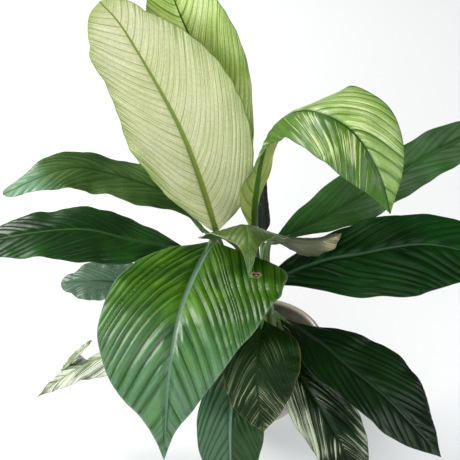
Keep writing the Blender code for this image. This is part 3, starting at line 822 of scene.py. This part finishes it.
def quilting_tree():
    """Lifts the panels between the side veins and sinks the groove over the middle rib."""
    graph, given = start_tree("Quilted Blade", {
        "Vein Count": "Float", "Quilt Height": "Float", "Rib Width": "Float",
        "Rib Depth": "Float", "Ripple Height": "Float"})
    place = graph.node("GeometryNodeInputNamedAttribute", {"Name": "blade"},
                       data_type="FLOAT_VECTOR")
    along, across, phase = graph.split(place)
    away = graph.node("GeometryNodeInputNamedAttribute", {"Name": "from_rib"}, data_type="FLOAT")
    reach = graph.absolute(across)

    # Raised panels, flat beside the rib and at both ends, and low at the margin
    turn = graph.times(phase, pi, given["Vein Count"])
    panel = graph.math("POWER", graph.absolute(graph.math("SINE", turn)), 0.65)
    inner = graph.smooth(reach, 0.02, 0.16)
    outer = graph.smooth(reach, 0.80, 1.0, 1.0, 0.25)
    base = graph.smooth(along, 0.01, 0.12)
    tip = graph.smooth(along, 0.90, 1.0, 1.0, 0.0)
    quilt = graph.times(panel, inner, graph.times(outer, base, tip), given["Quilt Height"])

    # A bell-shaped groove over the rib, gone at the tip, and a slow ripple over all
    share = graph.math("DIVIDE", away, given["Rib Width"])
    bell = graph.math("POWER", EULER, graph.times(share, share, -1.0))
    groove = graph.times(bell, given["Rib Depth"], graph.smooth(along, 0.75, 1.0, 1.0, 0.0))
    ripple = graph.noise(graph.node("GeometryNodeInputPosition"), 28.0, 3.0)
    ripple = graph.times(graph.math("SUBTRACT", ripple, 0.5), given["Ripple Height"])
    height = graph.sum(graph.math("SUBTRACT", quilt, groove), ripple)
    normal = graph.node("GeometryNodeInputNormal")
    offset = graph.node("ShaderNodeVectorMath", {0: normal, 3: height}, operation="SCALE")
    moved = graph.node("GeometryNodeSetPosition", {"Geometry": given["Geometry"], "Offset": offset})
    return end_tree(graph, given, moved)


def add_nodes_modifier(obj, tree, inputs):
    modifier = obj.modifiers.new(tree.name, "NODES")
    modifier.node_group = tree
    sockets = {item.name: item.identifier for item in tree.interface.items_tree
               if item.item_type == "SOCKET" and item.in_out == "INPUT"}
    for label, value in inputs.items():
        modifier[sockets[label]] = value
    return modifier


def made_plain(obj, name):
    """A new object with the finished mesh; the old one and its modifiers are removed."""
    bpy.context.view_layer.update()
    ready = obj.evaluated_get(bpy.context.evaluated_depsgraph_get())
    mesh = bpy.data.meshes.new_from_object(ready)
    mesh.name = name
    plain = new_object(name, mesh)
    bpy.data.objects.remove(obj)
    return plain


def recalculated(obj):
    """Turns every face outwards."""
    bm = bmesh.new()
    bm.from_mesh(obj.data)
    bmesh.ops.remove_doubles(bm, verts=bm.verts, dist=0.000002)
    bmesh.ops.recalc_face_normals(bm, faces=bm.faces)
    bm.to_mesh(obj.data)
    bm.free()
    return obj


def settle(obj, slot, *nodes):
    """Fixes a finished piece to the frame."""
    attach(obj, BODY)
    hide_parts(*nodes)


def slot_of(node):
    for entry in frame["record"]["subparts"]:
        if entry["node"] == node:
            return entry["material_slot"]
    raise ValueError("no sub-part " + node)


def make_blade(name, leaf, look, settings, tree, seed, node=None):
    """A quilted blade, thick at its rib and thin at its margin, with two finishes."""
    node = node or "leaf_" + name
    points, along, across, away = blade_points(leaf, look, settings.wave, seed)
    rib = smooth_path(leaf["rib"], RIB_ROWS)
    length = float(np.sum(np.linalg.norm(np.diff(rib, axis=0), axis=1)))
    phase = vein_phase(along, across, away, length, look)
    blade = np.stack([along, across, phase], axis=-1)
    sheet = sheet_object(name + "_sheet", points, {"blade": blade, "from_rib": away})
    upper = leaf_top_material("leaf_" + name, look)
    under = leaf_under_material("leaf_" + name, look)
    sheet.data.materials.append(upper)
    sheet.data.materials.append(under)
    thick = sheet.vertex_groups.new(name="thick")
    thin_share = settings.thickness / settings.rib_thickness
    rib_share = np.exp(-(away / (settings.rib_width * 0.8)) ** 2) * (1 - 0.8 * along)
    for index, share in enumerate(np.maximum(rib_share, thin_share).ravel()):
        thick.add([index], float(share), "REPLACE")
    add_nodes_modifier(sheet, tree, {
        "Vein Count": float(look["veins"]), "Quilt Height": look["quilt"],
        "Rib Width": settings.rib_width, "Rib Depth": settings.rib_depth,
        "Ripple Height": BLADE_RIPPLE, "Material": upper})
    solid = sheet.modifiers.new("Thickness", "SOLIDIFY")
    solid.thickness = settings.rib_thickness
    solid.offset = -1.0
    solid.vertex_group = "thick"
    solid.material_offset = 1
    solid.material_offset_rim = 0
    plain = recalculated(made_plain(sheet, "blade_" + name))
    settle(plain, slot_of(node), node)
    return plain


class PLANT_OT_blades(bpy.types.Operator):
    """Make the quilted blade of every leaf"""
    bl_idname = "plant.blades"
    bl_label = "Leaf Blades"

    def execute(self, context):
        tree = quilting_tree()
        for seed, (name, leaf) in enumerate(LEAVES.items()):
            make_blade(name, leaf, LOOKS[name], context.scene.plant_blades, tree, seed)
        strip_look = dict(LOOKS["cream"], tip_from=0.82, blunt=0.9, wave=0.3, veins=5)
        del strip_look["torn"]
        make_blade("torn_strip", TORN_STRIP, strip_look, context.scene.plant_blades, tree,
                   len(LEAVES), "leaf_cream")
        return {"FINISHED"}


# Stalks

def stalk_route(leaf):
    """From the crown straight up, over into the line of the rib, and on under the blade."""
    rib = smooth_path(leaf["rib"], RIB_ROWS)
    _, _, normal = blade_frame(leaf, RIB_ROWS)
    along = Vector(rib[1] - rib[0]).normalized()
    up = Vector((0.0, 0.0, 1.0))
    foot = Vector((*leaf["foot"], CROWN_TOP - 0.004))
    top = Vector(rib[0]) - along * 0.005
    reach = (top - foot).length
    rise = foot + up * reach * 0.45
    lead = top - along * reach * leaf.get("turn", 0.30)
    count = STALK_RINGS - UNDER_RINGS
    route = []
    for i in range(count):
        t = i / (count - 1)
        route.append(foot * (1 - t) ** 3 + rise * 3 * t * (1 - t) ** 2
                     + lead * 3 * t ** 2 * (1 - t) + top * t ** 3)
    for i in range(UNDER_RINGS):
        row = 1 + i * 2
        drop = 0.0012 + 0.0002 * i
        route.append(Vector(rib[row]) - Vector(normal[row]) * drop)
    return route, count


def stalk_radius(t, settings):
    """Wide and sheathing at the crown, slim above, with a slight knee under the blade."""
    sheath = (settings.sheath_radius - settings.radius) * max(0.0, 1 - t / 0.55) ** 1.4
    knee = 0.0006 * np.exp(-((t - 0.93) / 0.035) ** 2)
    return settings.radius * (1 - 0.14 * t) + sheath + knee


def stalk_tree():
    """Sweeps a grooved section along the stalk's line and closes its ends."""
    graph, given = start_tree("Grooved Stalk", {"Groove Depth": "Float"})
    ring = graph.node("GeometryNodeCurvePrimitiveCircle", {"Resolution": 20, "Radius": 1.0})
    upward = graph.split(graph.node("GeometryNodeInputPosition"))[1]
    drop = graph.times(graph.smooth(upward, 0.55, 1.0), given["Groove Depth"], -1.0)
    section = graph.node("GeometryNodeSetPosition", {
        "Geometry": ring, "Offset": graph.vector(0.0, drop)})
    radius = graph.node("GeometryNodeInputRadius")
    swept = graph.node("GeometryNodeCurveToMesh", {
        "Curve": given["Geometry"], "Profile Curve": section, "Scale": radius, "Fill Caps": True})
    return end_tree(graph, given, swept, smooth=True)


def stalk_material(settings):
    material, graph, shader = new_material("stalk_skin")
    place = graph.object_place()
    fibres = graph.noise(graph.stretched(place, (380.0, 380.0, 26.0)), 1.0, 3.0)
    flecks = graph.noise(place, 260.0, 2.0)
    height = graph.smooth(graph.split(place)[2], CROWN_TOP, CROWN_TOP + 0.10)
    colour = graph.mix(height, settings.low_colour, settings.high_colour)
    colour = graph.mix(graph.smooth(fibres, 0.35, 0.7, 0.0, 0.45), colour, (0.19, 0.29, 0.09))
    colour = graph.mix(graph.smooth(flecks, 0.62, 0.72, 0.0, 0.5), colour, (0.36, 0.42, 0.20))
    graph.feed(shader.inputs["Base Color"], colour)
    graph.feed(shader.inputs["Roughness"], graph.smooth(fibres, 0.2, 0.8, 0.34, 0.50))
    bump(graph, shader, fibres, 0.25, 0.0005)
    return material


def make_stalk(name, leaf, settings, tree, material):
    """A stalk that ends in a taper under its blade."""
    route, count = stalk_route(leaf)
    curve = bpy.data.curves.new(name, "CURVE")
    curve.dimensions = "3D"
    spline = curve.splines.new("POLY")
    spline.points.add(len(route) - 1)
    for i, place in enumerate(route):
        spline.points[i].co = (*place, 1.0)
        t = min(i / (count - 1), 1.0)
        over = max(0, i - count + 1) / UNDER_RINGS
        spline.points[i].radius = stalk_radius(t, settings) * (1 - 0.65 * over)
    line = new_object(name, curve)
    add_nodes_modifier(line, tree, {"Groove Depth": STALK_GROOVE, "Material": material})
    plain = recalculated(made_plain(line, "petiole_" + name))
    settle(plain, slot_of("stalk_" + name), "stalk_" + name)


class PLANT_OT_stalks(bpy.types.Operator):
    """Make the grooved stalk of every leaf"""
    bl_idname = "plant.stalks"
    bl_label = "Stalks"

    def execute(self, context):
        settings = context.scene.plant_stalks
        tree = stalk_tree()
        material = stalk_material(settings)
        for name, leaf in LEAVES.items():
            make_stalk(name, leaf, settings, tree, material)
        return {"FINISHED"}


# Crown

def crown_material():
    material, graph, shader = new_material("crown_fibre")
    place = graph.object_place()
    fibres = graph.noise(graph.stretched(place, (300.0, 300.0, 45.0)), 1.0, 4.0)
    patches = graph.noise(place, 90.0, 2.0)
    colour = graph.mix(graph.smooth(patches, 0.35, 0.65), (0.10, 0.065, 0.028), (0.17, 0.19, 0.065))
    colour = graph.mix(graph.smooth(fibres, 0.4, 0.7), colour, (0.24, 0.18, 0.09))
    graph.feed(shader.inputs["Base Color"], colour)
    shader.inputs["Roughness"].default_value = 0.72
    bump(graph, shader, fibres, 0.6, 0.001)
    return material


def mound(name, radius, low, top, lump, rings, spokes, material):
    """A low lumpy mound, closed underneath."""
    bm = bmesh.new()
    centre = bm.verts.new((0.0, 0.0, top + lump * 0.5))
    loops = []
    for i in range(1, rings + 1):
        share = i / rings
        loop = []
        for k in range(spokes):
            angle = 2 * pi * k / spokes
            x, y = radius * share * cos(angle), radius * share * sin(angle)
            height = low + (top - low) * (1 - share ** 4)
            rough = lump * noise.fractal((x * 60, y * 60, 3.1), 1.0, 2.0, 4)
            loop.append(bm.verts.new((x, y, max(low, height + rough))))
        loops.append(loop)
    loops.append([bm.verts.new((v.co.x * 0.97, v.co.y * 0.97, low - 0.002)) for v in loops[-1]])
    close_mound(bm, centre, loops)
    return mesh_object(name, bm, material, smooth=True)


def scale_leaf(bm, angle, radius, height, lean):
    """One dry, pointed scale that stands round the crown."""
    rows, columns = 8, 5
    grid = []
    for i in range(rows):
        t = i / (rows - 1)
        half = 0.0075 * (1 - t) ** 0.7 + 0.0003
        out = radius + lean * t ** 2
        line = []
        for k in range(columns):
            across = (k / (columns - 1) - 0.5) * 2
            turn = angle + across * half / radius
            bulge = 0.0016 * (1 - across ** 2)
            line.append(bm.verts.new(((out + bulge) * cos(turn), (out + bulge) * sin(turn),
                                      CROWN_LOW[2] + 0.001 + height * t)))
        grid.append(line)
    for low, high in zip(grid, grid[1:]):
        for k in range(columns - 1):
            bm.faces.new((low[k], low[k + 1], high[k + 1], high[k]))


class PLANT_OT_crown(bpy.types.Operator):
    """Make the fibrous crown and its old dry scales"""
    bl_idname = "plant.crown"
    bl_label = "Crown"

    def execute(self, context):
        material = crown_material()
        body = mound("crown_body", CROWN_RADIUS, CROWN_LOW[2], CROWN_TOP, 0.004, 14, 64, material)
        settle(body, "crown", "crown")
        random = np.random.default_rng(SCALE_SEED)
        bm = bmesh.new()
        for i in range(OLD_SCALES):
            angle = 2 * pi * i / OLD_SCALES + random.uniform(-0.08, 0.08)
            scale_leaf(bm, angle, CROWN_RADIUS * random.uniform(0.72, 0.96),
                       random.uniform(0.018, 0.040), random.uniform(-0.006, 0.010))
        scales = mesh_object("scales_open", bm, material, smooth=True)
        solid = scales.modifiers.new("Thickness", "SOLIDIFY")
        solid.thickness = 0.0006
        settle(recalculated(made_plain(scales, "crown_scales")), "crown", "crown")
        return {"FINISHED"}


# Soil

def peat_material(settings):
    material, graph, shader = new_material("peat")
    place = graph.object_place()
    coarse = graph.noise(place, 160.0, 4.0, 0.65)
    grains = graph.noise(place, 900.0, 3.0, 0.7)
    colour = graph.mix(graph.smooth(coarse, 0.35, 0.68), settings.peat, (0.050, 0.033, 0.021))
    colour = graph.mix(graph.smooth(grains, 0.62, 0.74), colour, (0.10, 0.072, 0.048))
    graph.feed(shader.inputs["Base Color"], colour)
    graph.feed(shader.inputs["Roughness"], graph.smooth(coarse, 0.3, 0.7, 0.82, 1.0))
    bump(graph, shader, grains, 0.7, 0.0012)
    return material


def chip_material(name, colour, pale):
    material, graph, shader = new_material(name)
    place = graph.object_place()
    tone = graph.noise(place, 240.0, 4.0)
    graph.feed(shader.inputs["Base Color"], graph.mix(tone, colour, pale))
    shader.inputs["Roughness"].default_value = 0.9
    bump(graph, shader, graph.noise(place, 1200.0, 3.0), 0.6, 0.0008)
    return material


def lump(name, size, seed):
    """A small rough stone-like lump with few faces."""
    bm = bmesh.new()
    bmesh.ops.create_icosphere(bm, subdivisions=1, radius=1.0)
    for vert in bm.verts:
        rough = 1 + 0.35 * noise.noise(vert.co * 1.7 + Vector((seed, 0, 0)))
        vert.co = Vector((vert.co.x * size[0], vert.co.y * size[1], vert.co.z * size[2])) * rough
    return mesh_object(name, bm)


def scatter_tree():
    """Strews lumps over a surface, each turned and sized by chance from a fixed seed."""
    graph, given = start_tree("Strewn Lumps", {
        "Density": "Float", "Seed": "Int", "Lump": "Object"})
    points = graph.node("GeometryNodeDistributePointsOnFaces", {
        "Mesh": given["Geometry"], "Density": given["Density"], "Seed": given["Seed"]})
    shape = graph.node("GeometryNodeObjectInfo", {"Object": given["Lump"]}, output="Geometry")
    turn = graph.node("FunctionNodeRandomValue", {
        0: (-0.5, -0.5, 0.0), 1: (0.5, 0.5, 2 * pi), "Seed": given["Seed"]},
        data_type="FLOAT_VECTOR")
    size = graph.node("FunctionNodeRandomValue", {2: 0.45, 3: 1.25, "Seed": given["Seed"]},
                      output=1, data_type="FLOAT")
    strewn = graph.node("GeometryNodeInstanceOnPoints", {
        "Points": points, "Instance": shape, "Rotation": turn, "Scale": size})
    return end_tree(graph, given, strewn)


def soil_patch(name, inner, outer):
    """An open ring of soil surface to strew things on."""
    bm = bmesh.new()
    rings = 8
    bridge(bm, [soil_ring(bm, inner + (outer - inner) * i / rings, 48) for i in range(rings + 1)])
    return mesh_object(name, bm)


def soil_ring(bm, radius, spokes):
    """A closed loop of points on the soil's surface."""
    places = [(radius * cos(2 * pi * k / spokes), radius * sin(2 * pi * k / spokes))
              for k in range(spokes)]
    return [bm.verts.new((x, y, soil_height(x, y))) for x, y in places]


def soil_height(x, y):
    return SOIL_TOP - 0.001 + 0.0045 * noise.fractal((x * 45, y * 45, 0.7), 1.0, 2.0, 4)


class PLANT_OT_soil(bpy.types.Operator):
    """Make the soil, its crumbs, bark chips and grit"""
    bl_idname = "plant.soil"
    bl_label = "Soil"

    def execute(self, context):
        settings = context.scene.plant_soil
        peat = peat_material(settings)
        edge = RIM_RADIUS - POT_WALL * 1.05
        body = self.body(edge, peat)
        settle(body, "potting_soil", "soil")
        tree = scatter_tree()
        inner = CROWN_RADIUS * 0.6
        area = pi * (edge ** 2 - inner ** 2)
        bark = chip_material("bark_chip", (0.11, 0.055, 0.026), (0.25, 0.15, 0.085))
        grit = chip_material("pale_grit", (0.55, 0.53, 0.48), (0.80, 0.78, 0.74))
        kinds = (("crumbs", settings.crumbs, (0.0022, 0.0019, 0.0015), peat),
                 ("chips", settings.chips, (0.0060, 0.0030, 0.0012), bark),
                 ("grit", settings.grit, (0.0014, 0.0012, 0.0011), grit))
        for seed, (name, count, size, material) in enumerate(kinds, 3):
            patch = soil_patch("patch_" + name, inner, edge - 0.003)
            shape = lump("lump_" + name, size, seed)
            add_nodes_modifier(patch, tree, {
                "Density": count / area, "Seed": seed, "Lump": shape, "Material": material})
            strewn = made_plain(patch, "soil_" + name)
            bpy.data.objects.remove(shape)
            settle(strewn, "potting_soil", "soil")
        return {"FINISHED"}

    def body(self, edge, material):
        """The soil's rough top over a plug that goes down into the pot."""
        bm = bmesh.new()
        rings = 26
        loops = [soil_ring(bm, edge * i / rings, 96) for i in range(1, rings + 1)]
        centre = bm.verts.new((0.0, 0.0, soil_height(0.0, 0.0)))
        loops.append([bm.verts.new((v.co.x, v.co.y, SOIL_TOP - 0.02)) for v in loops[-1]])
        close_mound(bm, centre, loops)
        return mesh_object("soil_body", bm, material, smooth=True)


# Pot

def pot_radius(height):
    """Outer radius of the low pot at a height: it opens from the foot and is upright at the rim."""
    return FOOT_RADIUS + (RIM_RADIUS - FOOT_RADIUS) * sin(pi / 2 * height / POT_HEIGHT)


def glaze_material(settings):
    material, graph, shader = new_material("pot_glaze_finish")
    place = graph.object_place()
    height = graph.split(place)[2]
    cloud = graph.noise(place, 14.0, 4.0, 0.6)
    specks = graph.noise(place, 520.0, 2.0)
    runs = graph.noise(graph.stretched(place, (70.0, 70.0, 9.0)), 1.0, 3.0)
    # Painted shade: random clouds of the glaze's shaded colour over its lit colour
    colour = graph.mix(graph.smooth(cloud, 0.35, 0.68), settings.glaze_shaded, settings.glaze)
    colour = graph.mix(graph.smooth(runs, 0.45, 0.70, 0.0, 0.35), colour, (0.30, 0.285, 0.23))
    colour = graph.mix(graph.smooth(specks, 0.66, 0.72, 0.0, 0.8), colour, (0.035, 0.026, 0.018))
    rim = graph.smooth(height, POT_HEIGHT - 0.007, POT_HEIGHT - 0.001, 0.0, 0.85)
    colour = graph.mix(rim, colour, (0.34, 0.30, 0.23))
    foot = graph.smooth(graph.sum(height, graph.times(runs, -0.006)), 0.0035, 0.0050, 1.0, 0.0)
    colour = graph.mix(foot, colour, settings.clay)
    graph.feed(shader.inputs["Base Color"], colour)
    rough = graph.math("MAXIMUM", graph.smooth(cloud, 0.3, 0.7, 0.20, 0.32),
                       graph.times(foot, 0.85))
    graph.feed(shader.inputs["Roughness"], rough)
    shader.inputs["Coat Weight"].default_value = 0.25
    shader.inputs["Coat Roughness"].default_value = 0.10
    bump(graph, shader, graph.sum(specks, graph.times(foot, -1.0)), 0.15, 0.0006)
    return material


class PLANT_OT_pot(bpy.types.Operator):
    """Make the glazed pot"""
    bl_idname = "plant.pot"
    bl_label = "Pot"

    def execute(self, context):
        settings = context.scene.plant_pot
        steps = 64
        lip = POT_WALL / 2
        top = POT_HEIGHT - lip
        inner = [(pot_radius(POT_WALL + (top - POT_WALL) * i / steps) - POT_WALL,
                  POT_WALL + (top - POT_WALL) * i / steps) for i in range(steps + 1)]
        edge = [(RIM_RADIUS - lip - lip * cos(radians(a)), top + lip * sin(radians(a)))
                for a in range(15, 180, 15)]
        outer = []
        for i in range(steps + 1):
            height = top * (1 - i / steps)
            ring = settings.ripple * sin(height * 900) * sin(pi * height / top)
            outer.append((pot_radius(height) + ring, height))
        hollow = 0.0012
        foot = [(FOOT_RADIUS - 0.002, 0.0), (FOOT_RADIUS - 0.010, 0.0),
                (FOOT_RADIUS - 0.012, hollow), (0.0, hollow)]
        profile = [(0.0, POT_WALL), *inner, *edge, *outer[:-1], (FOOT_RADIUS, 0.0008), *foot]
        mesh = bpy.data.meshes.new("pot_profile")
        mesh.from_pydata([(r, 0.0, z) for r, z in profile],
                         [(i, i + 1) for i in range(len(profile) - 1)], [])
        mesh.materials.append(glaze_material(settings))
        turned = new_object("pot_profile", mesh)
        screw = turned.modifiers.new("Turn", "SCREW")
        screw.steps = 128
        screw.render_steps = 128
        screw.use_merge_vertices = True
        screw.merge_threshold = 0.00005
        pot = recalculated(made_plain(turned, "glazed_pot"))
        pot.data.shade_smooth()
        settle(pot, "pot_glaze", "pot")
        return {"FINISHED"}


# Stage

def add_light(name, place, target, size, power, colour):
    light = bpy.data.lights.new(name, "AREA")
    light.shape = "DISK"
    light.size = size
    light.energy = power
    light.color = colour
    obj = new_object(name, light)
    obj.location = place
    direction = Vector(target) - Vector(place)
    obj.rotation_euler = direction.to_track_quat("-Z", "Y").to_euler()


class PLANT_OT_stage(bpy.types.Operator):
    """Make the floor, the lights and the camera"""
    bl_idname = "plant.stage"
    bl_label = "Stage"

    def execute(self, context):
        settings = context.scene.plant_stage
        self.floor(settings)
        self.world()
        add_light("front_window", (-0.8, -2.4, 1.5), (0.0, 0.0, 0.30), 2.6, 66.0, (0.92, 0.98, 1.0))
        add_light("right_window", (2.0, -1.4, 1.9), (0.0, 0.0, 0.35), 1.8, 34.0, (0.97, 0.99, 1.0))
        add_light("high_left", (-1.9, 1.0, 2.0), (0.0, 0.0, 0.20), 1.5, 105.0, (1.0, 0.99, 0.96))
        camera = bpy.data.cameras.new("camera")
        camera.lens = settings.lens
        camera.sensor_width = 36.0
        obj = new_object("camera", camera)
        obj.location = (settings.camera_side, -settings.camera_back, settings.camera_height)
        obj.rotation_euler = Euler((pi / 2 - settings.camera_pitch, 0.0, 0.0))
        context.scene.camera = obj
        context.scene.view_settings.view_transform = "Standard"
        return {"FINISHED"}

    def floor(self, settings):
        half = settings.floor_size / 2
        bm = bmesh.new()
        bmesh.ops.create_grid(bm, x_segments=8, y_segments=8, size=half)
        material, graph, shader = new_material("floor_paint")
        tone = graph.noise(graph.object_place(), 2.0, 2.0)
        pale = tuple(min(1.0, part * 1.03) for part in settings.floor_colour)
        graph.feed(shader.inputs["Base Color"], graph.mix(tone, settings.floor_colour, pale))
        shader.inputs["Roughness"].default_value = 0.9
        shader.inputs["Emission Color"].default_value = (0.97, 0.98, 1.0, 1.0)
        shader.inputs["Emission Strength"].default_value = 0.20
        floor = mesh_object("floor", bm, material)

    def world(self):
        world = bpy.data.worlds.new("daylight")
        world.use_nodes = True
        background = world.node_tree.nodes["Background"]
        background.inputs["Color"].default_value = (0.86, 0.93, 1.0, 1.0)
        background.inputs["Strength"].default_value = 0.14
        bpy.context.scene.world = world


class PLANT_PT_panel(bpy.types.Panel):
    """Lists the sizes, the colours and the pieces"""
    bl_label = "Potted Peace Lily"
    bl_idname = "PLANT_PT_panel"
    bl_space_type = "VIEW_3D"
    bl_region_type = "UI"
    bl_category = "Plant"

    def draw(self, context):
        for name, group in SETTINGS.items():
            box = self.layout.box()
            values = getattr(context.scene, name)
            for key in group.__annotations__:
                box.prop(values, key)
        for operator in OPERATORS:
            self.layout.operator(operator.bl_idname)


SETTINGS = {
    "plant_stage": StageSettings,
    "plant_pot": PotSettings,
    "plant_soil": SoilSettings,
    "plant_stalks": StalkSettings,
    "plant_blades": BladeSettings,
}
OPERATORS = (PLANT_OT_stage, PLANT_OT_pot, PLANT_OT_soil, PLANT_OT_crown, PLANT_OT_stalks,
             PLANT_OT_blades)


def register():
    for name, group in SETTINGS.items():
        bpy.utils.register_class(group)
        setattr(bpy.types.Scene, name, bpy.props.PointerProperty(type=group))
    for operator in OPERATORS:
        bpy.utils.register_class(operator)
    bpy.utils.register_class(PLANT_PT_panel)


def unregister():
    bpy.utils.unregister_class(PLANT_PT_panel)
    for operator in reversed(OPERATORS):
        bpy.utils.unregister_class(operator)
    for name, group in SETTINGS.items():
        delattr(bpy.types.Scene, name)
        bpy.utils.unregister_class(group)


def write_sizes():
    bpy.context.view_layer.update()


def main():
    register()
    bpy.ops.plant.stage()
    bpy.ops.plant.pot()
    bpy.ops.plant.soil()
    bpy.ops.plant.crown()
    bpy.ops.plant.stalks()
    bpy.ops.plant.blades()
    write_sizes()


if __name__ == "__main__":
    main()
